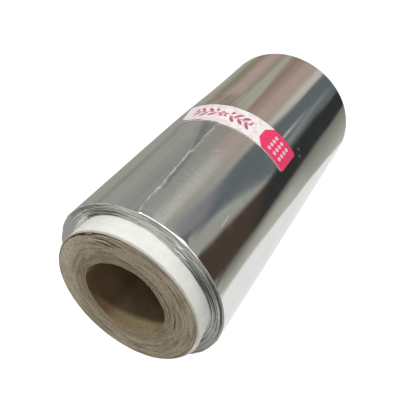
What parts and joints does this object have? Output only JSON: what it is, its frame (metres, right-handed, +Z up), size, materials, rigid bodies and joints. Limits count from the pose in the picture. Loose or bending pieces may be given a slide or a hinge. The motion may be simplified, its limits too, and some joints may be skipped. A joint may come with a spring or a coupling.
{
  "type": "aluminium foil roll",
  "caption": "Aluminium foil wound on a thick cardboard core that stands out at both ends, with a paper seal over the free edge.",
  "frame": {"origin": "middle of the core's lower end, on the surface that the roll stands on", "axes": "+Z up along the roll's axis, -Y towards the side that carries the seal"},
  "size_m": [0.061, 0.0613, 0.1348],
  "materials": {
    "core_board": "rough grey-brown recycled board",
    "liner_paper": "smooth white paper",
    "foil": "bright rolled foil",
    "label_paper": "coated label paper printed in pinks"
  },
  "bodies": {
    "root": {"core_tube": "core_board", "core_liner": "liner_paper", "foil_web": "foil", "seal_label": "label_paper"}
  },
  "joints": []
}
